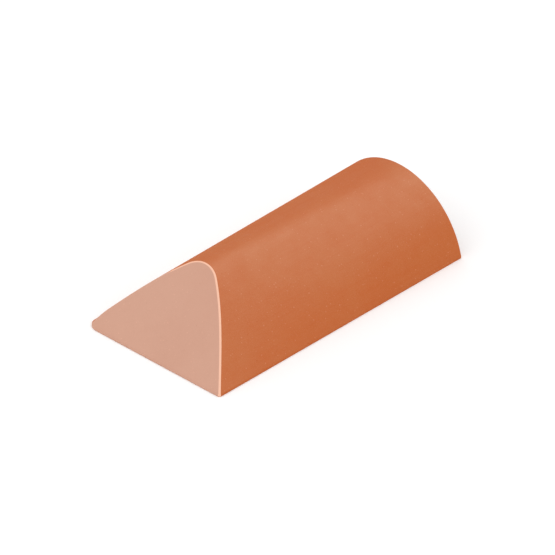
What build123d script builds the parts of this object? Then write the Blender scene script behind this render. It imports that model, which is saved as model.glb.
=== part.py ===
"""Hip end ridge tile: a fired-clay barrel, closed at its lower end by a leaning plate.

The tile starts the hip of a tiled roof. Its barrel is an open trough laid upside down,
and the plate closes the end that shows at the eaves. The whole tile is one fired piece.

Frame: X across the tile, Y along it from the closed end to the open one, Z up.
The origin is on the plane that the tile rests on, in the middle of its length.
"""

import math
import os
from dataclasses import dataclass

from build123d import *

# Barrel, in millimetres and degrees like all the sizes below
length = 457.0  # along the base, from the foot of the plate to the open end
wall = 12.0  # thickness of the barrel and of the plate
foot_height = 3.0  # upright edge round the base, where thin clay would break off

# Closed end, where the section is a triangle with a rounded peak
closed_width = 244.0  # outside, at the top of the foot
closed_rise = 110.5  # of the section that stands on the foot of the plate
closed_crown_radius = 39.0  # of the rounded peak
closed_flank_radius = 1130.0  # of the slightly bowed sides
plate_lean = 43.2  # how far the plate tips back from upright

# Open end, where the section is one round arc
open_width = 223.0  # outside, at the top of the foot
open_rise = 94.5  # height of the crown above the base

# Rounded edges
rim_radius = 3.5  # arris round the front of the plate
left_corner_radius = 18.0  # the foot's blunt corner at the closed end, from above
right_corner_radius = 4.0  # the foot's other corner there, on the side of positive X
end_radius = 1.5  # edges of the open end
inside_radius = 8.0  # clay smoothed into the corner behind the plate

# The sections are drawn a little past the base, which then cuts them off flat
below_base = 10.0


@dataclass(frozen=True)
class Arch:
    """Section of the barrel: a crown arc that runs into a flank arc on each side.

    The shoulder is the angle from the top at which the arcs meet. The inset in each
    method moves the arcs inward together, to draw the inside of the wall.
    """

    rise: float
    crown_radius: float
    flank_radius: float
    shoulder: float

    def flank_centre(self):
        """Centre of the right flank's arc, seen from the closed end."""
        reach = self.flank_radius - self.crown_radius
        turn = math.radians(self.shoulder)
        drop = self.crown_radius + reach * math.cos(turn)
        return -reach * math.sin(turn), self.rise - drop

    def flank_start(self, inset):
        """Angle above the horizontal at which the flank's arc starts below the base."""
        drop = below_base + self.flank_centre()[1]
        return math.degrees(math.asin(-drop / (self.flank_radius - inset)))

    def crown_share(self, inset):
        """Share of the outline's length that half of the crown takes on its side."""
        crown_length = (self.crown_radius - inset) * self.shoulder
        flank_turn = 90 - self.shoulder - self.flank_start(inset)
        return crown_length / (crown_length + (self.flank_radius - inset) * flank_turn)

    def draw(self, inset):
        """The three arcs, and a straight line below the base."""
        x, y = self.flank_centre()
        radius = self.flank_radius - inset
        start = self.flank_start(inset)
        turn = 90 - self.shoulder - start
        CenterArc(
            (0, self.rise - self.crown_radius),
            self.crown_radius - inset,
            90 - self.shoulder,
            2 * self.shoulder,
        )
        right = CenterArc((x, y), radius, start, turn)
        left = CenterArc((-x, y), radius, 90 + self.shoulder, turn)
        Line(left @ 1, right @ 0)


def closed_arch():
    """Rounded triangle whose flanks stand on the foot and run smoothly into the peak."""
    half_width = closed_width / 2
    crown_height = closed_rise - closed_crown_radius - foot_height
    distance = math.hypot(half_width, crown_height)
    reach = closed_flank_radius - closed_crown_radius
    offset = (closed_flank_radius**2 - reach**2 - distance**2) / (2 * reach)
    shoulder = math.atan2(crown_height, half_width) + math.asin(offset / distance)
    return Arch(
        closed_rise, closed_crown_radius, closed_flank_radius, math.degrees(shoulder)
    )


def open_arch(inset):
    """Round arc that stands on the foot.

    Its crown takes the same share of the outline as at the closed end, so that the
    barrel's surface is smooth all the way along.
    """
    rise = open_rise - foot_height
    radius = ((open_width / 2) ** 2 + rise**2) / (2 * rise)
    quarter = Arch(open_rise, radius, radius, 0)
    turn = 90 - quarter.flank_start(inset)
    return Arch(open_rise, radius, radius, closed_arch().crown_share(inset) * turn)


closed_plane = Plane(origin=(0, -length / 2, 0), x_dir=(1, 0, 0), z_dir=(0, -1, 0))
open_plane = closed_plane.offset(-length)

# The front of the plate starts at the top of the foot and leans back over the hollow
lean = math.radians(plate_lean)
plate_plane = Plane(
    origin=(0, -length / 2, foot_height),
    x_dir=(1, 0, 0),
    z_dir=(0, -math.cos(lean), math.sin(lean)),
)


def barrel(inset, arris_radius):
    """Solid between the two end sections, cut off along the plate."""
    with BuildPart() as solid:
        with BuildSketch(closed_plane):
            with BuildLine():
                closed_arch().draw(inset)
            make_face()
        with BuildSketch(open_plane):
            with BuildLine():
                open_arch(inset).draw(inset)
            make_face()
        loft(ruled=True)
        split(bisect_by=plate_plane.offset(-inset), keep=Keep.BOTTOM)

        # The arris runs where the plate meets the crown and the flanks, not the foot
        plate = solid.faces().filter_by(plate_plane).sort_by(Axis.Y)[0]
        arris = plate.edges().filter_by(lambda edge: edge.center().Z > wall)
        fillet(arris, radius=arris_radius)
    return solid.part


with BuildPart() as ridge_tile:
    add(barrel(0, rim_radius))
    open_face = ridge_tile.faces().sort_by(Axis.Y)[-1]
    fillet(open_face.edges().sort_by(Axis.Z)[1:], radius=end_radius)

    # The foot is the outline of the base, drawn from above and carried straight up.
    # It also cuts the tile off flat at the base.
    with BuildSketch() as foot:
        with BuildLine():
            Polyline(
                (-closed_width / 2, -length / 2),
                (closed_width / 2, -length / 2),
                (open_width / 2, length / 2),
                (-open_width / 2, length / 2),
                close=True,
            )
        make_face()
        left_corner = foot.vertices().group_by(Axis.Y)[0].sort_by(Axis.X)[0]
        fillet(left_corner, radius=left_corner_radius)
        right_corner = foot.vertices().group_by(Axis.Y)[0].sort_by(Axis.X)[-1]
        fillet(right_corner, radius=right_corner_radius)
    extrude(amount=closed_rise, mode=Mode.INTERSECT)

    add(barrel(wall, inside_radius), mode=Mode.SUBTRACT)
    open_face = ridge_tile.faces().sort_by(Axis.Y)[-1]
    inner_arcs = open_face.edges().filter_by(GeomType.CIRCLE).group_by(SortBy.RADIUS)[0]
    fillet(inner_arcs, radius=end_radius)

os.makedirs("parts", exist_ok=True)
ridge_tile.part.label = "ridge_tile"
export_step(ridge_tile.part, "parts/ridge_tile.step")
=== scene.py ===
"""Hip end ridge tile: one piece of fired clay, dressed and lit for its picture.

The tile is a tapered barrel that is closed at its lower end by a leaning plate. Its
mesh is built here from the same sizes as the solid model, with an even grid of faces,
rounded arrises and the slight unevenness of pressed clay. The sizes of the tile are in
millimetres, and its mesh is scaled to metres at the end. Those of the studio are in
metres, and textures count their waves or spots to the metre. Angles are in radians.

Frame: X across the tile, Y along it from the closed end to the open one, Z up.
"""

from __future__ import annotations

import logging
import math
from dataclasses import dataclass, field, replace
from enum import Enum

import bmesh
import bpy
import numpy as np
from bmesh.types import BMesh, BMVert
from bpy.types import Material, Node, NodeSocket as Socket, NodeTree, Object
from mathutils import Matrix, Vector, noise
from mathutils.geometry import delaunay_2d_cdt

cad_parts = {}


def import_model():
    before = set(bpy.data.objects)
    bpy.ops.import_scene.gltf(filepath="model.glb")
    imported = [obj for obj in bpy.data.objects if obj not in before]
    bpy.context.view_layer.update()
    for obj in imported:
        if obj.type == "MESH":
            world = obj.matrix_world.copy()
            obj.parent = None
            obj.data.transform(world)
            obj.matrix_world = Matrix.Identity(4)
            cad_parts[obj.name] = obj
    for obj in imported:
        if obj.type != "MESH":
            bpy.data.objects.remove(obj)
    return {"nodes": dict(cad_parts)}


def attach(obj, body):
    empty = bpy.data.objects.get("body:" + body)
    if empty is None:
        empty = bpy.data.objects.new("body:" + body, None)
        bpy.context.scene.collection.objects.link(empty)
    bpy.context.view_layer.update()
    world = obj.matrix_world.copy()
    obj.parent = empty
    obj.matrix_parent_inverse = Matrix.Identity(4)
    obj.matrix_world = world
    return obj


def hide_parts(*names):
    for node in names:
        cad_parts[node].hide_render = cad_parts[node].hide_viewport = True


LOG = logging.getLogger("ridge_tile")
METRES = 0.001  # metres in a millimetre
CLOSE = 1e-6  # millimetres between heights or points that count as the same
TINY = 1e-9  # keeps a divisor away from 0
PIECE = "clay_tile"
RUBBING_AND_HIGHLIGHT_LAYER = "rubbing_and_highlight"  # paleness of each point of the mesh from rubbing, and a painted highlight on the arris over the plate, read by the materials
Colour = tuple[float, float, float]
Place = tuple[float, float, float]
Faces = list[tuple[int, ...]]  # each as indices into a list of points
Value = Socket | float | Colour  # what an input of a node is given
Inputs = dict[str | int, Value]


def srgb(*levels: int) -> Colour:
    """Linear colour of a red, green and blue from 0 to 255 as a screen shows them."""
    shares = (level / 255 for level in levels)
    return tuple(
        s / 12.92 if s <= 0.04045 else ((s + 0.055) / 1.055) ** 2.4 for s in shares
    )


def stepped(first: np.ndarray, last: np.ndarray, steps: int) -> np.ndarray:
    """Points or rows of points in equal steps from the first to the last."""
    share = np.linspace(0, 1, steps + 1).reshape(-1, *[1] * first.ndim)
    return (1 - share) * first + share * last


def eased(share: float | np.ndarray) -> float | np.ndarray:
    """A share from 0 to 1, changed so that it starts and ends softly."""
    return share * share * (3 - 2 * share)


def arc(centre: tuple[float, float], radius: float, angles: np.ndarray) -> np.ndarray:
    """Points of an arc, one row of x and z for each angle from the top."""
    x, z = centre
    return np.c_[x + radius * np.sin(angles), z + radius * np.cos(angles)]


def anticlockwise(loop: np.ndarray) -> bool:
    """Whether a closed outline runs anticlockwise."""
    after = np.roll(loop, -1, axis=0)
    return (loop[:, 0] * after[:, 1] - after[:, 0] * loop[:, 1]).sum() > 0


class Zone(Enum):
    """Surfaces of the tile that have a finish of their own."""

    BARREL = 0
    PLATE = 1
    HOLLOW = 2
    CUT = 3


def add_faces(mesh: BMesh, verts: list[BMVert], faces: Faces, zone: Zone) -> None:
    """Adds faces of one zone between points of a mesh."""
    for corners in faces:
        mesh.faces.new([verts[i] for i in corners]).material_index = zone.value


@dataclass(frozen=True)
class Arch:
    """Section of the barrel: a crown arc that runs into a flank arc on each side.

    The shoulder is the angle from the top at which the arcs meet. The inset in each
    method moves the arcs inward together, for the inside of the wall.
    """

    half_width: float
    rise: float
    crown_radius: float
    flank_radius: float
    shoulder: float

    def flank_centre(self) -> tuple[float, float]:
        """Finds the centre of the flank's arc, on the side of positive X.

        Returns:
            Its x and z.
        """
        reach = self.flank_radius - self.crown_radius
        drop = self.crown_radius + reach * math.cos(self.shoulder)
        return -reach * math.sin(self.shoulder), self.rise - drop

    def angle_at(self, height: float, inset: float) -> float:
        """Angle from the top at which the flank passes a height."""
        drop = height - self.flank_centre()[1]
        return math.acos(drop / (self.flank_radius - inset))

    def flank(self, angles: np.ndarray, inset: float) -> np.ndarray:
        """Points of the flank's arc, one row of x and z for each angle."""
        return arc(self.flank_centre(), self.flank_radius - inset, angles)

    def crown(self, angles: np.ndarray, inset: float) -> np.ndarray:
        """Points of the crown's arc, one row of x and z for each angle."""
        centre = (0.0, self.rise - self.crown_radius)
        return arc(centre, self.crown_radius - inset, angles)


@dataclass(frozen=True)
class Outline:
    """One section of the barrel as points from the left foot over the crown.

    Each point has its x and z, the angle of its outward normal from the vertical, and
    the spacing of the points there, which weighs the direction of one end of the barrel
    against that of the other.
    """

    points: np.ndarray
    turn: np.ndarray
    speed: np.ndarray

    @staticmethod
    def mirrored(half: np.ndarray, turn: np.ndarray, speed: np.ndarray) -> Outline:
        """The whole outline from its right half, which starts at the crown."""
        left = (half[:0:-1] * (-1, 1), -turn[:0:-1], speed[:0:-1])
        return Outline(*map(np.concatenate, zip(left, (half, turn, speed))))

    def directions(self) -> np.ndarray:
        """Directions along the outline, as long as the spacing of its points."""
        ahead = np.c_[np.cos(self.turn), -np.sin(self.turn)]
        return self.speed[:, None] * ahead


@dataclass(frozen=True)
class TileSizes:
    """Sizes of the tile, the same as in its solid model except for the base radius."""

    length: float = 457.0
    wall: float = 12.0
    foot_height: float = 3.0
    closed_width: float = 244.0
    closed_rise: float = 110.5
    closed_crown_radius: float = 39.0
    closed_flank_radius: float = 1130.0
    plate_lean: float = math.radians(43.2)
    open_width: float = 223.0
    open_rise: float = 94.5
    rim_radius: float = 3.5
    left_corner_radius: float = 18.0
    right_corner_radius: float = 4.0
    end_radius: float = 1.5
    inside_radius: float = 8.0
    base_radius: float = 0.8  # edge round the base, only in this mesh

    def closed_arch(self) -> Arch:
        """Works out the section at the closed end.

        Returns:
            A triangle with a rounded peak, which stands on the foot of the plate.
        """
        half_width = self.closed_width / 2
        height = self.closed_rise - self.closed_crown_radius - self.foot_height
        distance = math.hypot(half_width, height)
        reach = self.closed_flank_radius - self.closed_crown_radius
        offset = (self.closed_flank_radius**2 - reach**2 - distance**2) / (2 * reach)
        return Arch(
            half_width,
            self.closed_rise,
            self.closed_crown_radius,
            self.closed_flank_radius,
            math.atan2(height, half_width) + math.asin(offset / distance),
        )

    def open_arch(self, crown_share: float) -> Arch:
        """Works out the section at the open end.

        Args:
            crown_share: share of the outline that its crown takes.

        Returns:
            A round arc.
        """
        rise = self.open_rise - self.foot_height
        half_width = self.open_width / 2
        radius = (half_width**2 + rise**2) / (2 * rise)
        arch = Arch(half_width, self.open_rise, radius, radius, 0.0)
        shoulder = crown_share * arch.angle_at(self.foot_height, 0.0)
        return replace(arch, shoulder=shoulder)

    def outlines(
        self, inset: float, crown_steps: int, flank_steps: int, below: float
    ) -> tuple[Outline, Outline]:
        """The closed and the open section, point for point.

        Args:
            inset: 0 for the outside of the wall, and its thickness for the inside.
            crown_steps: steps from the top of the crown to its shoulder.
            flank_steps: steps from the shoulder to the top of the foot.
            below: how far below the base the outlines run.

        Returns:
            The outlines of the closed end and of the open end.
        """
        closed = self.closed_arch()
        crown = (closed.crown_radius - inset) * closed.shoulder
        turn = closed.angle_at(self.foot_height, inset) - closed.shoulder
        share = crown / (crown + (closed.flank_radius - inset) * turn)
        ends = []
        for arch in (closed, self.open_arch(share)):
            foot_angle = arch.angle_at(self.foot_height, inset)
            crown_turn = np.linspace(0, arch.shoulder, crown_steps + 1)
            flank_turn = np.linspace(arch.shoulder, foot_angle, flank_steps + 1)[1:]
            heights = ((self.foot_height + self.base_radius) / 2, -below)
            if inset:
                low_turn = np.array([arch.angle_at(h, inset) for h in heights])
                low = arch.flank(low_turn, inset)
            else:
                low_turn = np.full(2, math.pi / 2)
                low = np.array([(arch.half_width, h) for h in heights])
            crown_points = arch.crown(crown_turn, inset)
            flank_points = arch.flank(flank_turn, inset)
            crown_speed = math.dist(crown_points[0], crown_points[1])
            flank_speed = math.dist(flank_points[0], flank_points[1])
            ends.append(
                Outline.mirrored(
                    np.r_[crown_points, flank_points, low],
                    np.r_[crown_turn, flank_turn, low_turn],
                    np.repeat(
                        (crown_speed, flank_speed), (crown_steps + 1, flank_steps + 2)
                    ),
                )
            )
        return ends[0], ends[1]


@dataclass(frozen=True)
class Wear:
    """Pale edges from rubbing and a painted highlight, from 0 to 1, and the blunt
    corner.

    The painted highlight on the arris over the plate is least on the side of negative
    X.
    """

    # least, starts_at and full_from set how the painted highlight runs along the arris
    # over the plate
    least: float = 0.12
    starts_at: float = -62.0  # x where the arris's painted highlight starts to grow
    full_from: float = -26.0  # x from which the painted highlight is whole
    open_rim: float = 0.4
    inner_rim: float = 0.6
    corner_drop: float = 5.0  # how far the foot's blunt corner is worn down
    corner_reach: float = 32.0  # distance over which the drop runs out
    corner_height: float = 8.0  # height above the base from which the drop is whole


@dataclass(frozen=True)
class Patch:
    """One smooth piece of the tile's surface, before the pieces are welded together.

    The last array says how pale each point's edge is, from 0 to 1, by rubbing and
    painted highlight.
    """

    points: np.ndarray
    faces: Faces
    zone: Zone
    worn_and_highlit: np.ndarray

    @staticmethod
    def grid(rows: np.ndarray, zone: Zone, worn_and_highlit: np.ndarray | float = 0.0) -> Patch:
        """A patch of four-sided faces.

        Args:
            rows: points as an array of rows, columns and coordinates.
            zone: the surface that the patch belongs to.
            worn_and_highlit: how pale each point is by rubbing and painted highlight,
                or each row as a single column.

        Returns:
            The patch.
        """
        count, width = rows.shape[:2]
        number = np.arange((count - 1) * width).reshape(count - 1, width)
        corner = number[:, :-1].ravel()
        faces = np.c_[corner, corner + 1, corner + width + 1, corner + width]
        wear = np.broadcast_to(worn_and_highlit, (count, width)).ravel()
        points = rows.reshape(-1, 3).copy()
        return Patch(points, list(map(tuple, faces.tolist())), zone, wear)


@dataclass(frozen=True)
class FlatFill:
    """Fills a flat outline with even triangles of a given spacing."""

    spacing: float
    clearance: float = 0.62  # share of the spacing that is kept free at the outline

    def inside(self, points: np.ndarray, loop: np.ndarray) -> np.ndarray:
        """Tells which points lie inside an outline.

        Args:
            points: the points, one a row.
            loop: the outline's points, in order.

        Returns:
            True or False for each point.
        """
        start, end = loop, np.roll(loop, -1, axis=0)
        x, y = points[:, :1], points[:, 1:]
        crosses = (start[:, 1] > y) != (end[:, 1] > y)
        climb = np.where(start[:, 1] == end[:, 1], 1.0, end[:, 1] - start[:, 1])
        meets = start[:, 0] + (y - start[:, 1]) * (end[:, 0] - start[:, 0]) / climb
        return (crosses & (x < meets)).sum(axis=1) % 2 == 1

    def clear(self, points: np.ndarray, loop: np.ndarray) -> np.ndarray:
        """Tells which points lie well clear of the line of an outline.

        Args:
            points: the points, one a row.
            loop: the outline's points, in order.

        Returns:
            True or False for each point.
        """
        line = np.roll(loop, -1, axis=0) - loop
        size = np.maximum((line**2).sum(axis=1), TINY)
        gap = points[:, None] - loop
        share = np.clip((gap * line).sum(axis=2) / size, 0, 1)
        gap -= share[:, :, None] * line
        nearest = np.hypot(gap[..., 0], gap[..., 1]).min(axis=1)
        return nearest > self.clearance * self.spacing

    def fill(self, loop: np.ndarray) -> tuple[np.ndarray, Faces]:
        """Triangles that fill a closed outline.

        Args:
            loop: the outline's points, in order.

        Returns:
            The points, which start with the outline's own, and the triangles.
        """
        loop = loop.astype(np.float32).astype(float)
        low, high = loop.min(axis=0), loop.max(axis=0)
        across = np.arange(low[0], high[0], self.spacing)
        levels = np.arange(low[1], high[1], self.spacing * math.sqrt(3) / 2)
        rows = [loop]
        for number, level in enumerate(levels):
            shift = self.spacing / 2 * (number % 2)
            row = np.c_[across + shift, np.full(len(across), level)]
            rows.append(row[self.inside(row, loop) & self.clear(row, loop)])
        order = list(range(len(loop)))
        if not anticlockwise(loop):
            order.reverse()
        vectors = [Vector(point) for point in np.concatenate(rows)]
        made = delaunay_2d_cdt(vectors, [], [order], 1, CLOSE, False)
        points = np.array([tuple(point) for point in made[0]])
        faces = np.array(made[2])

        # Where the outline is all but straight, thin triangles can lie outside it
        middles = points[faces].mean(axis=1)
        kept = faces.max(axis=1) >= len(loop)
        kept[~kept] = self.inside(middles[~kept], loop)
        return points, list(map(tuple, faces[kept].tolist()))

    def steps(self, start: np.ndarray, end: np.ndarray) -> int:
        """How many steps of about the spacing lead from one point to another."""
        return max(2, round(math.dist(start, end) / self.spacing))


@dataclass(frozen=True)
class Relief:
    """Unevenness of the pressed clay, all of it below the true surface."""

    swell: float = 0.22  # depth of the broad waves
    swell_length: float = 95.0
    drag: float = 0.07  # depth of the lines that run along the barrel
    drag_width: float = 7.0
    drag_length: float = 260.0
    drag_origin: Place = (9.0, 4.0, 2.0)  # in the noise
    starts_at: float = 1.0  # height above the base
    fade: float = 9.0  # further height over which the relief grows whole

    def depth(self, point: Vector) -> float:
        """Works out how deep the relief is.

        Args:
            point: a point of the true surface.

        Returns:
            How far the uneven surface lies below it.
        """
        swell = 0.5 + 0.5 * noise.noise(point / self.swell_length)
        along = Vector((point.x, point.z, 0.0)) / self.drag_width
        along.z = point.y / self.drag_length
        drag = 0.5 + 0.5 * noise.noise(along + Vector(self.drag_origin))
        share = min(1.0, max(0.0, (point.z - self.starts_at) / self.fade))
        return eased(share) * (self.swell * swell + self.drag * drag)


def part_way(first: np.ndarray, last: np.ndarray, share: float) -> np.ndarray:
    """Turns unit vectors part of the way towards others.

    Args:
        first: the vectors to start from, one a row.
        last: the vectors to turn towards.
        share: how much of the way, from 0 to 1.

    Returns:
        The turned unit vectors.
    """
    angle = np.arccos(np.clip((first * last).sum(axis=1, keepdims=True), -1, 1))
    size = np.maximum(np.sin(angle), TINY)
    return (np.sin((1 - share) * angle) * first + np.sin(share * angle) * last) / size


@dataclass
class RidgeTile:
    """The whole tile as one mesh.

    Its surface is made as patches: the barrel outside and inside, the front and back of
    the plate, the face of the open end, and the rounded edges between them. They are
    welded, cut off flat just above the base, and closed by the base.
    """

    sizes: TileSizes = field(default_factory=TileSizes)
    wear: Wear = field(default_factory=Wear)
    relief: Relief = field(default_factory=Relief)
    crown_steps: int = 12  # from the top of the crown to each shoulder
    flank_steps: int = 58
    length_steps: int = 186
    rim_steps: int = 8
    plate_rim_steps: int = 6  # of the arris's steps, those finished like the plate
    base_steps: int = 3
    wall_steps: int = 5
    spacing: float = 2.5  # of the triangles that fill the plate
    base_spacing: float = 3.5  # of those that fill the base
    below_base: float = 4.0  # how far the patches run on before the base cuts them
    weld: float = 1e-3  # distance within which points of the patches are joined

    def barrel_points(
        self, ends: tuple[Outline, Outline], share: np.ndarray
    ) -> tuple[np.ndarray, np.ndarray]:
        """Points of the barrel and its outward unit normals there.

        Args:
            ends: the outlines of the closed end and of the open end.
            share: how far along the barrel each point lies, from 0 to 1.

        Returns:
            The points and the normals, one row for each point of the outlines.
        """
        closed, opened = ends
        length = self.sizes.length
        part = share[:, None]
        flat = (1 - part) * closed.points + part * opened.points
        points = np.c_[flat[:, 0], (share - 0.5) * length, flat[:, 1]]
        ahead = (1 - part) * closed.directions() + part * opened.directions()
        shift = opened.points - closed.points
        normals = np.c_[
            -ahead[:, 1] * length,
            ahead[:, 1] * shift[:, 0] - ahead[:, 0] * shift[:, 1],
            ahead[:, 0] * length,
        ]
        return points, normals / np.linalg.norm(normals, axis=1, keepdims=True)

    def plate_share(self, ends: tuple[Outline, Outline], depth: float) -> np.ndarray:
        """How far along the barrel each point of the outlines meets the plate.

        Args:
            ends: the outlines of the closed end and of the open end.
            depth: 0 for the front of the plate, and its thickness for the back.

        Returns:
            Shares of the barrel's length. The front never starts before the foot.
        """
        closed, opened = ends[0].points[:, 1], ends[1].points[:, 1]
        lean = self.sizes.plate_lean
        above = closed - self.sizes.foot_height
        start = depth / math.cos(lean) + math.tan(lean) * above
        share = start / (self.sizes.length + math.tan(lean) * (closed - opened))
        return share if depth else np.maximum(share, 0)

    def rounded_edge(
        self, corner: np.ndarray, first: np.ndarray, last: np.ndarray, radius: float
    ) -> np.ndarray:
        """Rows of points round an edge between two faces.

        Args:
            corner: points along the sharp edge.
            first: unit normals of the face where the rows start.
            last: unit normals of the face where they end.
            radius: of the rounding.

        Returns:
            The rows of points.
        """
        facing = 1 + (first * last).sum(axis=1, keepdims=True)
        centre = corner - radius * (first + last) / facing
        shares = np.linspace(0, 1, self.rim_steps + 1)
        return np.array([centre + radius * part_way(first, last, s) for s in shares])

    def wear_and_highlight_of_rounding(self) -> np.ndarray:
        """How pale each row of a rounded edge is, by rubbing and painted highlight:
        most in the middle.
        """
        return np.sqrt(np.sin(np.linspace(0, math.pi, self.rim_steps + 1)))[:, None]

    def wear_and_highlight_along(self, across: np.ndarray) -> np.ndarray:
        """Works out how pale the arris is across the tile, by rubbing and a painted
        highlight.

        Args:
            across: the x of each point of the arris.

        Returns:
            The paleness at each point.
        """
        wear = self.wear
        share = (across - wear.starts_at) / (wear.full_from - wear.starts_at)
        return wear.least + (1 - wear.least) * eased(np.clip(share, 0, 1))

    def to_foot(self, points: np.ndarray) -> np.ndarray:
        """Moves in what sticks out past the outline of the foot.

        Args:
            points: points of the outside, in any number of rows.

        Returns:
            The points, none of them outside the foot as seen from above.
        """
        sizes = self.sizes
        front = -sizes.length / 2
        taper = (sizes.closed_width - sizes.open_width) / 2 / sizes.length
        radius = np.where(
            points[..., 0] < 0, sizes.left_corner_radius, sizes.right_corner_radius
        )
        corner_y = front + radius
        inward = radius * (taper + math.hypot(1, taper))
        corner_x = sizes.closed_width / 2 - inward

        y = np.maximum(points[..., 1], front)
        x = np.abs(points[..., 0])
        x = np.minimum(x, sizes.closed_width / 2 - taper * (y - front))
        gap_x, gap_y = x - corner_x, y - corner_y
        gap = np.hypot(gap_x, gap_y)
        outside = (gap_x > 0) & (gap_y < 0) & (gap > radius)
        scale = np.where(outside, radius / np.maximum(gap, TINY), 1.0)
        x = np.where(outside, corner_x + gap_x * scale, x)
        y = np.where(outside, corner_y + gap_y * scale, y)
        return np.stack([np.sign(points[..., 0]) * x, y, points[..., 2]], axis=-1)

    def rub_corner(self, points: np.ndarray) -> np.ndarray:
        """Rounds the top of the foot's blunt corner, on the side of negative X.

        Args:
            points: points of the outside, in any number of rows.

        Returns:
            The points, lowered near the corner and less so near the base.
        """
        sizes, wear = self.sizes, self.wear
        gap = np.hypot(
            points[..., 0] + sizes.closed_width / 2, points[..., 1] + sizes.length / 2
        )
        nearest = sizes.left_corner_radius * (math.sqrt(2) - 1)
        near = np.clip((wear.corner_reach - gap) / (wear.corner_reach - nearest), 0, 1)
        above = (points[..., 2] - sizes.base_radius) / wear.corner_height
        lowered = points.copy()
        lowered[..., 2] -= wear.corner_drop * near**2 * np.clip(above, 0, 1)
        return lowered

    def edges(self, depth: float, radius: float) -> tuple[np.ndarray, ...]:
        """Rounds both ends of the barrel's outside or of its inside.

        Args:
            depth: 0 for the outside, and the thickness of the wall for the inside.
            radius: of the edge along the plate.

        Returns:
            Points along the sharp edge of the plate, and the rows of points round that
            edge and round the edge of the open end.
        """
        sizes = self.sizes
        steps = self.crown_steps, self.flank_steps
        ends = sizes.outlines(depth, *steps, self.below_base)
        corner, barrel_normal = self.barrel_points(ends, self.plate_share(ends, depth))
        lean = sizes.plate_lean
        on_foot = (corner[:, 2:] < sizes.foot_height - CLOSE) & (depth == 0)
        leaning = (0, -math.cos(lean), math.sin(lean))
        plate_normal = np.where(on_foot, (0, -1, 0), leaning)
        rim = self.rounded_edge(corner, plate_normal, barrel_normal, radius)
        end, end_normal = self.barrel_points(ends, np.ones(len(corner)))
        facing = np.broadcast_to((0.0, 1.0, 0.0), end.shape)
        outward = -end_normal if depth else end_normal
        return corner, rim, self.rounded_edge(end, outward, facing, sizes.end_radius)

    def outside(self) -> tuple[list[Patch], np.ndarray]:
        """The barrel's outside, the plate's front and the edges round them.

        Returns:
            The patches, and the last row of points at the open end.
        """
        sizes = self.sizes
        corner, rim, mouth = self.edges(0.0, sizes.rim_radius)

        # The top of the foot lies right above its lower points at both ends
        left, right = np.flatnonzero(np.abs(corner[:, 2] - sizes.foot_height) < CLOSE)
        for rows in (rim, mouth):
            rows[:, (left, right), :2] = rows[:, (left - 1, right + 1), :2]
            rows[:, (left, right), 2] = sizes.foot_height

        split = self.plate_rim_steps
        wear = self.wear_and_highlight_of_rounding()
        # The arris over the plate gets a painted highlight, faded towards negative X.
        rim_wear_and_highlight = wear * self.wear_and_highlight_along(corner[:, 0])
        barrel = stepped(rim[-1], mouth[0], self.length_steps)
        patches = [
            Patch.grid(rim[: split + 1], Zone.PLATE, rim_wear_and_highlight[: split + 1]),
            Patch.grid(rim[split:], Zone.BARREL, rim_wear_and_highlight[split:]),
            Patch.grid(barrel, Zone.BARREL),
            Patch.grid(mouth, Zone.BARREL, self.wear.open_rim * wear),
            self.plate_face(rim[0][left : right + 1], 0.0, Zone.PLATE),
            self.foot_front(rim[0][: left + 1], rim[0][: right - 1 : -1]),
        ]
        for patch in patches:
            patch.points[:] = self.rub_corner(self.to_foot(patch.points))
        return patches, self.to_foot(mouth[-1])

    def plate_face(self, edge: np.ndarray, depth: float, zone: Zone) -> Patch:
        """Fills the flat front or back of the plate.

        Args:
            edge: points along the edge that runs over the top of the face.
            depth: 0 for the front, and the plate's thickness for the back.
            zone: the surface that the face belongs to.

        Returns:
            The patch, closed by a straight line at its lower end.
        """
        lean, foot = self.sizes.plate_lean, self.sizes.foot_height
        fill = FlatFill(self.spacing)
        bottom = stepped(edge[-1], edge[0], fill.steps(edge[-1], edge[0]))
        loop = np.r_[edge, bottom[1:-1]]
        flat, faces = fill.fill(np.c_[loop[:, 0], (loop[:, 2] - foot) / math.cos(lean)])
        across, up = flat.T
        start = depth / math.cos(lean) - self.sizes.length / 2
        points = np.c_[across, start + up * math.sin(lean), foot + up * math.cos(lean)]
        points[: len(loop)] = loop
        return Patch(points, faces, zone, np.zeros(len(points)))

    def foot_front(self, left: np.ndarray, right: np.ndarray) -> Patch:
        """The upright front of the foot, below the plate."""
        steps = FlatFill(self.spacing).steps(left[-1], right[-1])
        return Patch.grid(stepped(left, right, steps), Zone.PLATE)

    def hollow(self) -> tuple[list[Patch], np.ndarray]:
        """The barrel's inside, the plate's back and the clay smoothed between them.

        Returns:
            The patches, and the last row of points at the open end.
        """
        sizes = self.sizes
        _, rim, mouth = self.edges(sizes.wall, sizes.inside_radius)
        barrel = stepped(rim[-1], mouth[0], self.length_steps)
        mouth_wear = self.wear.inner_rim * self.wear_and_highlight_of_rounding()
        return [
            Patch.grid(rim, Zone.HOLLOW),
            Patch.grid(barrel, Zone.HOLLOW),
            Patch.grid(mouth, Zone.CUT, mouth_wear),
            self.plate_face(rim[0], sizes.wall, Zone.HOLLOW),
        ], mouth[-1]

    def open_end(self, outer: np.ndarray, inner: np.ndarray) -> Patch:
        """The flat face of the open end, between the outside and the inside."""
        return Patch.grid(stepped(outer, inner, self.wall_steps), Zone.CUT)

    def welded(self, patches: list[Patch]) -> BMesh:
        """Joins the patches.

        Args:
            patches: all that the tile's surface is made of above the base.

        Returns:
            One mesh in millimetres, with the paleness of each point, by rubbing and
            painted highlight, in its own layer.
        """
        mesh = bmesh.new()
        worn_and_highlit = mesh.verts.layers.float.new(RUBBING_AND_HIGHLIGHT_LAYER)
        for patch in patches:
            verts = [mesh.verts.new(point) for point in patch.points.tolist()]
            for vert, wear in zip(verts, patch.worn_and_highlit.tolist()):
                vert[worn_and_highlit] = wear
            add_faces(mesh, verts, patch.faces, patch.zone)
        bmesh.ops.remove_doubles(mesh, verts=mesh.verts[:], dist=self.weld)
        return mesh

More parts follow.
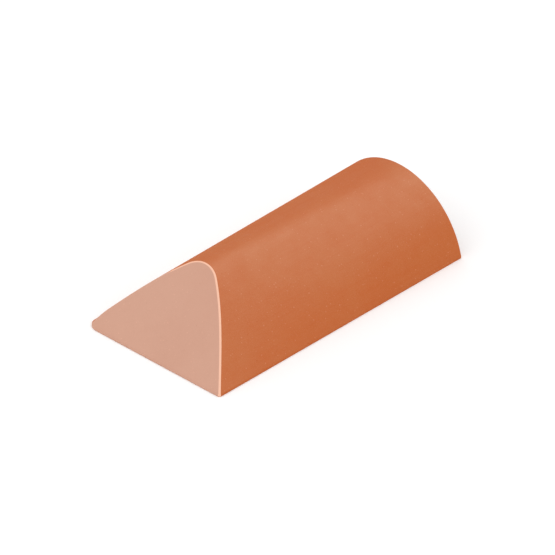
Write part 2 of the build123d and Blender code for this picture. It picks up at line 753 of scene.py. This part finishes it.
    def cut_at_base(self, mesh: BMesh) -> None:
        """Cuts the mesh off above the base, rounds the edge there and closes it.

        Args:
            mesh: the welded patches, which run on below the base.
        """
        radius = self.sizes.base_radius
        bmesh.ops.bisect_plane(
            mesh,
            geom=mesh.verts[:] + mesh.edges[:] + mesh.faces[:],
            dist=self.weld / 10,
            plane_co=(0, 0, radius),
            plane_no=(0, 0, -1),
            clear_outer=True,
        )
        ring = self.open_loop(mesh)
        line = np.array([vert.co[:2] for vert in ring])
        ahead = np.roll(line, -1, axis=0) - np.roll(line, 1, axis=0)
        inward = np.c_[-ahead[:, 1], ahead[:, 0]]
        inward /= np.linalg.norm(inward, axis=1, keepdims=True)
        for step in range(1, self.base_steps + 1):
            turn = math.pi / 2 * step / self.base_steps
            flat = line + radius * (1 - math.cos(turn)) * inward
            height = radius * (1 - math.sin(turn))
            below = [mesh.verts.new((x, y, height)) for x, y in flat.tolist()]
            for i in range(len(ring)):
                corners = (ring[i - 1], ring[i], below[i], below[i - 1])
                mesh.faces.new(corners).material_index = Zone.CUT.value
            ring = below
        points, faces = FlatFill(self.base_spacing).fill(flat)
        more = [mesh.verts.new((x, y, 0.0)) for x, y in points[len(ring) :].tolist()]
        add_faces(mesh, ring + more, faces, Zone.CUT)

    def open_loop(self, mesh: BMesh) -> list[BMVert]:
        """Follows the open edge of the mesh.

        Args:
            mesh: a mesh with one open edge.

        Returns:
            The edge's points, anticlockwise as seen from above.
        """
        start = min((e for e in mesh.edges if e.is_boundary), key=lambda e: e.index)
        ring, edge = [start.verts[0], start.verts[1]], start
        while ring[-1] is not ring[0]:
            here = ring[-1].link_edges
            edge = next(e for e in here if e.is_boundary and e is not edge)
            ring.append(edge.other_vert(ring[-1]))
        ring.pop()
        line = np.array([vert.co[:2] for vert in ring])
        return ring if anticlockwise(line) else ring[::-1]

    def build(self) -> Object:
        """Builds the tile and adds it to the scene.

        Returns:
            The tile, each face with the number of its zone as its material.
        """
        outside, outer = self.outside()
        hollow, inner = self.hollow()
        mesh = self.welded(outside + hollow + [self.open_end(outer, inner)])
        self.cut_at_base(mesh)
        bmesh.ops.recalc_face_normals(mesh, faces=mesh.faces[:])
        mesh.normal_update()
        depths = [self.relief.depth(vert.co) for vert in mesh.verts]
        for vert, depth in zip(mesh.verts, depths):
            vert.co -= vert.normal * depth
        bmesh.ops.scale(mesh, vec=(METRES,) * 3, verts=mesh.verts[:])
        for face in mesh.faces:
            face.smooth = True
        data = bpy.data.meshes.new(PIECE)
        mesh.to_mesh(data)
        mesh.free()
        tile = bpy.data.objects.new(PIECE, data)
        bpy.context.scene.collection.objects.link(tile)
        weighted = tile.modifiers.new("flat faces stay flat", "WEIGHTED_NORMAL")
        weighted.keep_sharp = True
        return tile


@dataclass(frozen=True)
class ClayFinish:
    """Looks of one zone of the fired clay.

    Shares run from 0 to 1, and the depths of grain, drag and pits are in millimetres.
    """

    clay: Colour
    deep: Colour  # where it has fired darker, and the painted shade in its pits
    bare_and_highlight: Colour  # paler clay from rubbing, the painted highlight on the arris over the plate, and its pale grains
    mottle: float  # share of the deep colour
    specks: float  # strength of the grains
    roughness: float
    streaks: float = 0.5  # share of the lines along the tile in the mottle
    # share of the pale edge colour, from rubbing and from a painted highlight
    wear: float = 0.0
    specular: float = 0.09
    grazing_roughness: float = 0.0  # added where the surface turns away
    grain: float = 0.12
    drag: float = 0.05
    pits: float = 0.12


FINISHES = {
    Zone.BARREL: ClayFinish(
        clay=srgb(194, 106, 57),
        deep=srgb(190, 80, 10),
        # also the colour of the painted highlight on the arris over the plate
        bare_and_highlight=srgb(250, 196, 168),
        mottle=0.2,
        specks=0.3,
        roughness=0.5,
        wear=1.0,
        specular=0.06,
        grazing_roughness=0.45,
    ),
    # The plate's paler colour is partly a paler pressed face and partly a painted
    # reflection of the light on its leaning face.
    Zone.PLATE: ClayFinish(
        clay=srgb(213, 164, 142),
        deep=srgb(207, 156, 134),
        # also the colour of the painted highlight on the arris over the plate
        bare_and_highlight=srgb(250, 196, 168),
        mottle=0.35,
        specks=0.4,
        roughness=0.6,
        streaks=0.15,
        wear=1.0,
        drag=0.03,
    ),
    Zone.HOLLOW: ClayFinish(
        clay=srgb(188, 106, 68),
        deep=srgb(168, 88, 54),
        bare_and_highlight=srgb(214, 150, 118),
        mottle=0.5,
        specks=0.5,
        roughness=0.8,
        grain=0.25,
        drag=0.12,
    ),
    Zone.CUT: ClayFinish(
        clay=srgb(198, 118, 78),
        deep=srgb(180, 98, 62),
        bare_and_highlight=srgb(232, 172, 142),
        mottle=0.4,
        specks=0.6,
        roughness=0.8,
        wear=0.6,
        grain=0.2,
    ),
}


class Graph:
    """A node tree with short ways to add and join its nodes."""

    def __init__(self, tree: NodeTree) -> None:
        """Keeps the tree and empties it."""
        self.tree = tree
        self.tree.nodes.clear()

    def add(self, kind: str, inputs: Inputs | None = None, **settings: object) -> Node:
        """Adds a node.

        Args:
            kind: the node's type without its "ShaderNode" start.
            inputs: values or sockets for its inputs, by name or number.
            settings: values for the node's own properties.

        Returns:
            The node.
        """
        node = self.tree.nodes.new(f"ShaderNode{kind}")
        for name, value in settings.items():
            setattr(node, name, value)
        for name, value in (inputs or {}).items():
            socket = node.inputs[name]
            if isinstance(value, Socket):
                self.tree.links.new(value, socket)
            elif socket.type == "RGBA":
                socket.default_value = (*value, 1.0)
            else:
                socket.default_value = value
        return node

    def use(self, group: NodeTree, inputs: Inputs) -> Socket:
        """Output of a node group that is given its inputs."""
        return self.add("Group", inputs, node_tree=group).outputs[0]

    def math(self, operation: str, *values: Value) -> Socket:
        """Output of a math node that works on up to three values."""
        return self.add("Math", dict(enumerate(values)), operation=operation).outputs[0]

    def mix(self, share: Value, first: Value, last: Value) -> Socket:
        """Output of a node that mixes two colours, in its sockets for colours."""
        inputs = {0: share, 6: first, 7: last}
        return self.add("Mix", inputs, data_type="RGBA").outputs[2]

    def ramp(self, value: Value, low: float, high: float) -> Socket:
        """Output that rises smoothly from 0 to 1 as a value goes from low to high."""
        inputs = {"Value": value, "From Min": low, "From Max": high}
        return self.add("MapRange", inputs, interpolation_type="SMOOTHSTEP").outputs[0]

    def place(self) -> Socket:
        """Output with the place on the object."""
        return self.add("TexCoord").outputs["Object"]

    def noise(self, place: Socket, scale: float, detail: float = 2.0) -> Socket:
        """Noise from 0 to 1 at a place, with a number of waves to the metre."""
        inputs = {"Vector": place, "Scale": scale, "Detail": detail}
        return self.add("TexNoise", inputs).outputs[0]

    def spots(self, place: Socket, scale: float, size: float, share: float) -> Socket:
        """Scattered spots of mixed shapes and sizes, 1 inside and 0 between them.

        Args:
            place: where the spots are looked up.
            scale: how many could fit in a metre.
            size: largest radius, as a share of the room for one spot.
            share: how many of them there are, from 0 to 1.

        Returns:
            The output with the spots.
        """
        bend, smallest = 0.35, 0.4  # as shares of the room and of the largest radius
        bent = self.add("TexNoise", {"Vector": place, "Scale": 3.0 * scale})
        shift = self.add(
            "VectorMath",
            {0: bent.outputs["Color"], 1: (bend / scale,) * 3, 2: place},
            operation="MULTIPLY_ADD",
        )
        inputs = {"Vector": shift.outputs[0], "Scale": scale}
        cells = self.add("TexVoronoi", inputs)
        drawn = self.add("SeparateColor", {0: cells.outputs["Color"]}).outputs
        there = self.math("LESS_THAN", drawn["Red"], share)
        spread = (1 - smallest) * size
        radius = self.math("MULTIPLY_ADD", drawn["Green"], spread, smallest * size)
        depth = self.math("DIVIDE", cells.outputs["Distance"], radius)
        return self.math("MULTIPLY", self.ramp(depth, low=1.0, high=0.6), there)

    def drawn_lines(self, place: Socket, scale: float) -> Socket:
        """Noise that is drawn out into lines along the tile."""
        stretched = self.add("Mapping", {"Vector": place, "Scale": (1.0, 0.025, 1.0)})
        return self.noise(stretched.outputs[0], scale, detail=3.0)

    def pits(self, place: Socket) -> Socket:
        """Small pits where sand has fallen out of the clay."""
        return self.spots(place, scale=170.0, size=0.16, share=0.45)


class ClayEffects:
    """Shader node groups that the finishes share."""

    def __init__(self) -> None:
        """Builds each group once."""
        self.colour = self.clay_colour()
        self.worn_and_highlit = self.rubbed_and_highlit_edges()
        self.rough = self.uneven_roughness()
        self.height = self.clay_height()

    def group(
        self, name: str, inputs: dict[str, str], output: str, kind: str
    ) -> tuple[Graph, dict[str, Socket], Node]:
        """Starts a node group.

        Args:
            name: the group's name.
            inputs: the kind of each input, by name.
            output: the name of the output.
            kind: the kind of the output.

        Returns:
            The graph, its inputs inside the group by name, and its output node.
        """
        tree = bpy.data.node_groups.new(name, "ShaderNodeTree")
        graph = Graph(tree)
        new = tree.interface.new_socket
        for label, socket in inputs.items():
            new(label, in_out="INPUT", socket_type=f"NodeSocket{socket}")
        new(output, in_out="OUTPUT", socket_type=f"NodeSocket{kind}")
        start = tree.nodes.new("NodeGroupInput")
        end = tree.nodes.new("NodeGroupOutput")
        return graph, {label: start.outputs[label] for label in inputs}, end

    def clay_colour(self) -> NodeTree:
        """Clay that fires unevenly, with fine pale and dark grains, and painted shade
        in its pits.

        Returns:
            A group whose output is a colour.
        """
        inputs = {
            "Clay": "Color",
            "Deep": "Color",
            "Grains": "Color",
            "Mottle": "Float",
            "Streaks": "Float",
            "Specks": "Float",
        }
        graph, given, end = self.group("clay colour", inputs, "Color", "Color")
        place = graph.place()
        broad_noise = graph.noise(place, scale=9.0, detail=3.0)
        fine_noise = graph.noise(place, scale=70.0, detail=4.0)
        broad = graph.ramp(broad_noise, low=0.35, high=0.7)
        fine = graph.ramp(fine_noise, low=0.4, high=0.75)
        lines = graph.ramp(graph.drawn_lines(place, scale=210.0), low=0.45, high=0.75)
        uneven = graph.math("MULTIPLY_ADD", fine, 0.4, broad)
        uneven = graph.math("MULTIPLY_ADD", lines, given["Streaks"], uneven)
        share = graph.math("MULTIPLY", uneven, given["Mottle"])
        body = graph.mix(share, given["Clay"], given["Deep"])

        sand = graph.noise(place, scale=1300.0)
        pale_sand = graph.ramp(sand, low=0.5, high=0.75)
        dark_sand = graph.ramp(sand, low=0.48, high=0.28)
        pale_grains = graph.spots(place, scale=250.0, size=0.28, share=0.3)
        dark_grains = graph.spots(place, scale=310.0, size=0.24, share=0.3)
        for mask, colour, amount in (
            (pale_sand, given["Grains"], 0.3),
            (dark_sand, given["Deep"], 0.7),
            (pale_grains, given["Grains"], 0.5),
            (dark_grains, given["Deep"], 0.9),
            # painted shade: the pits are darkened in colour as well as sunk by the bump
            (graph.pits(place), given["Deep"], 1.6),
        ):
            weight = graph.math("MULTIPLY", given["Specks"], amount)
            body = graph.mix(graph.math("MULTIPLY", mask, weight), body, colour)
        graph.tree.links.new(body, end.inputs["Color"])
        return graph.tree

    def rubbed_and_highlit_edges(self) -> NodeTree:
        """Paler clay where an edge is pale from rubbing, and a painted highlight on the
        arris over the plate.

        Returns:
            A group whose output is a colour.
        """
        inputs = {"Color": "Color", "Bare Clay And Highlight": "Color", "Wear": "Float"}
        graph, given, end = self.group("rubbed and highlit edges", inputs, "Color", "Color")
        worn_and_highlit = graph.add("Attribute", attribute_name=RUBBING_AND_HIGHLIGHT_LAYER).outputs["Fac"]
        place = graph.place()
        uneven = graph.noise(place, scale=160.0, detail=3.0)
        edge = graph.math("MULTIPLY_ADD", uneven, 0.35, worn_and_highlit)
        # pale edge colour from rubbing, and a painted highlight on the arris over the
        # plate
        rubbed_and_highlit = graph.ramp(edge, low=0.35, high=0.9)
        share = graph.math("MULTIPLY", rubbed_and_highlit, given["Wear"])
        colour = graph.mix(share, given["Color"], given["Bare Clay And Highlight"])
        graph.tree.links.new(colour, end.inputs["Color"])
        return graph.tree

    def uneven_roughness(self) -> NodeTree:
        """Roughness that changes a little from place to place.

        Returns:
            A group whose output is a roughness.
        """
        inputs = {"Roughness": "Float", "Change": "Float"}
        graph, given, end = self.group("uneven roughness", inputs, "Roughness", "Float")
        place = graph.place()
        uneven = graph.noise(place, scale=45.0, detail=4.0)
        centred = graph.math("SUBTRACT", uneven, 0.5)
        change = graph.math("MULTIPLY", centred, given["Change"])
        total = graph.math("ADD", given["Roughness"], change)
        graph.tree.links.new(total, end.inputs["Roughness"])
        return graph.tree

    def clay_height(self) -> NodeTree:
        """Sandy grain, small pits, and the lines that the clay was dragged in.

        Returns:
            A group whose output is a height in metres.
        """
        inputs = {"Grain": "Float", "Drag": "Float", "Pits": "Float"}
        graph, given, end = self.group("clay height", inputs, "Height", "Float")
        place = graph.place()
        sand = graph.noise(place, scale=620.0, detail=3.0)
        grain = graph.math("MULTIPLY", sand, given["Grain"])
        lines = graph.drawn_lines(place, scale=330.0)
        height = graph.math("MULTIPLY_ADD", lines, given["Drag"], grain)
        sunk = graph.math("MULTIPLY", graph.pits(place), given["Pits"])
        height = graph.math("SUBTRACT", height, sunk)
        metres = graph.math("MULTIPLY", height, METRES)
        graph.tree.links.new(metres, end.inputs["Height"])
        return graph.tree


@dataclass
class FiredClay:
    """Materials of the tile, one for each zone."""

    effects: ClayEffects
    roughness_change: float = 0.2
    grazing_from: float = 0.55  # how far the surface turns away, from 0 to 1

    def colour(self, graph: Graph, finish: ClayFinish) -> Socket:
        """Adds the colour of the clay, paler along edges from rubbing and from a
        painted highlight.

        Args:
            graph: the nodes of the material.
            finish: its colours and shares.

        Returns:
            The output with the colour.
        """
        inputs = {
            "Clay": finish.clay,
            "Deep": finish.deep,
            "Grains": finish.bare_and_highlight,
            "Mottle": finish.mottle,
            "Streaks": finish.streaks,
            "Specks": finish.specks,
        }
        body = graph.use(self.effects.colour, inputs)
        # paler edges: rubbing, and a painted highlight on the arris over the plate
        inputs = {"Color": body, "Bare Clay And Highlight": finish.bare_and_highlight, "Wear": finish.wear}
        return graph.use(self.effects.worn_and_highlit, inputs)

    def roughness(self, graph: Graph, finish: ClayFinish) -> Socket:
        """Adds the roughness, higher where the surface turns away.

        Args:
            graph: the nodes of the material.
            finish: its roughnesses.

        Returns:
            The output with the roughness.
        """
        inputs = {"Roughness": finish.roughness, "Change": self.roughness_change}
        rough = graph.use(self.effects.rough, inputs)
        if not finish.grazing_roughness:
            return rough
        facing = graph.add("LayerWeight", {"Blend": 0.5}).outputs["Facing"]
        grazing = graph.ramp(facing, low=self.grazing_from, high=1.0)
        return graph.math("MULTIPLY_ADD", grazing, finish.grazing_roughness, rough)

    def material(self, zone: Zone, finish: ClayFinish) -> Material:
        """Makes the material of one zone.

        Args:
            zone: the surface that it is for.
            finish: its colours and shares.

        Returns:
            The material.
        """
        material = bpy.data.materials.new(f"terracotta_{zone.name.lower()}")
        material.use_nodes = True
        graph = Graph(material.node_tree)
        inputs = {"Grain": finish.grain, "Drag": finish.drag, "Pits": finish.pits}
        height = graph.use(self.effects.height, inputs)
        bump = graph.add("Bump", {"Height": height, "Distance": 1.0, "Strength": 1.0})
        inputs = {
            "Base Color": self.colour(graph, finish),
            "Roughness": self.roughness(graph, finish),
            "Specular IOR Level": finish.specular,
            "Normal": bump.outputs[0],
        }
        shader = graph.add("BsdfPrincipled", inputs)
        graph.add("OutputMaterial", {"Surface": shader.outputs[0]})
        return material

    def dress(self, tile: Object) -> None:
        """Gives the tile its materials, in the order of the zones."""
        for zone in Zone:
            tile.data.materials.append(self.material(zone, FINISHES[zone]))


@dataclass
class Studio:
    """White floor, plain daylight, a broad sheen from behind, and the camera.

    Sizes are in metres.
    """

    view_width: float = 0.7196
    turn: float = math.radians(44.7124)
    tilt: float = math.radians(33.0557)
    target: Place = (0.07316, -0.07228, 0.09148)
    distance: float = 3.0
    sight: float = 30.0  # how far the camera sees
    daylight: float = 1.0
    floor_size: float = 14.0
    floor_colour: Colour = (0.98, 0.98, 0.98)
    floor_glow: float = 0.1  # for the camera only
    sheen_from: Place = (0.07, 0.6, 0.79)
    sheen_spread: float = math.radians(66)
    sheen_strength: float = 13.9
    sheen_colour: Colour = (0.88, 0.97, 0.81)

    def build(self) -> Object:
        """Builds the studio round the tile.

        Returns:
            The floor.
        """
        self.world()
        floor = self.floor()
        self.sheen()
        self.camera()
        bpy.context.scene.view_settings.view_transform = "Standard"
        return floor

    def world(self) -> None:
        """Plain white light from all round."""
        world = bpy.data.worlds.new("daylight")
        world.use_nodes = True
        graph = Graph(world.node_tree)
        white = (1.0, 1.0, 1.0)
        sky = graph.add("Background", {"Color": white, "Strength": self.daylight})
        graph.add("OutputWorld", {"Surface": sky.outputs[0]})
        bpy.context.scene.world = world

    def floor(self) -> Object:
        """Lays a wide white floor that shows the tile's faint shadow.

        Returns:
            The floor.
        """
        half = self.floor_size / 2
        signs = ((-1, -1), (1, -1), (1, 1), (-1, 1))
        corners = [(x * half, y * half, 0) for x, y in signs]
        data = bpy.data.meshes.new("floor")
        data.from_pydata(corners, [], [(0, 1, 2, 3)])
        floor = bpy.data.objects.new("floor", data)
        bpy.context.scene.collection.objects.link(floor)
        material = bpy.data.materials.new("white_floor")
        material.use_nodes = True
        graph = Graph(material.node_tree)
        paper = graph.add("BsdfDiffuse", {"Color": self.floor_colour})
        seen = graph.add("LightPath").outputs["Is Camera Ray"]
        glow = graph.math("MULTIPLY", seen, self.floor_glow)
        white = graph.add("Emission", {"Strength": glow})
        both = graph.add("AddShader", {0: paper.outputs[0], 1: white.outputs[0]})
        graph.add("OutputMaterial", {"Surface": both.outputs[0]})
        data.materials.append(material)
        return floor

    def sheen(self) -> None:
        """A wide lamp behind the tile that only shows as a sheen on its crown."""
        data = bpy.data.lights.new("sheen", "SUN")
        data.angle = self.sheen_spread
        data.energy = self.sheen_strength
        data.color = self.sheen_colour
        light = bpy.data.objects.new("sheen", data)
        direction = Vector(self.sheen_from).normalized()
        light.rotation_euler = direction.to_track_quat("Z", "Y").to_euler()
        light.visible_diffuse = False
        bpy.context.scene.collection.objects.link(light)

    def camera(self) -> None:
        """Adds the camera, which looks down at the closed end without perspective."""
        data = bpy.data.cameras.new("camera")
        data.type = "ORTHO"
        data.ortho_scale = self.view_width
        data.clip_end = self.sight
        camera = bpy.data.objects.new("camera", data)
        level = math.cos(self.tilt)
        across, along = math.sin(self.turn) * level, -math.cos(self.turn) * level
        back = Vector((across, along, math.sin(self.tilt)))
        camera.location = Vector(self.target) + back * self.distance
        camera.rotation_euler = (math.pi / 2 - self.tilt, 0.0, self.turn)
        bpy.context.scene.collection.objects.link(camera)
        bpy.context.scene.camera = camera


def main() -> None:
    """Builds the tile, dresses it and sets up the studio."""
    logging.basicConfig(level=logging.INFO, format="%(name)s: %(message)s")
    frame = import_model()
    LOG.info("Frame with the nodes %s", ", ".join(sorted(frame["nodes"])))
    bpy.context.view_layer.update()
    tile = RidgeTile().build()
    FiredClay(ClayEffects()).dress(tile)
    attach(tile, "root")
    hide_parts("ridge_tile")
    LOG.info("Piece %s with %d faces", tile.name, len(tile.data.polygons))
    floor = Studio().build()
    LOG.info("Stage %s with its lights and camera", floor.name)


if __name__ == "__main__":
    main()
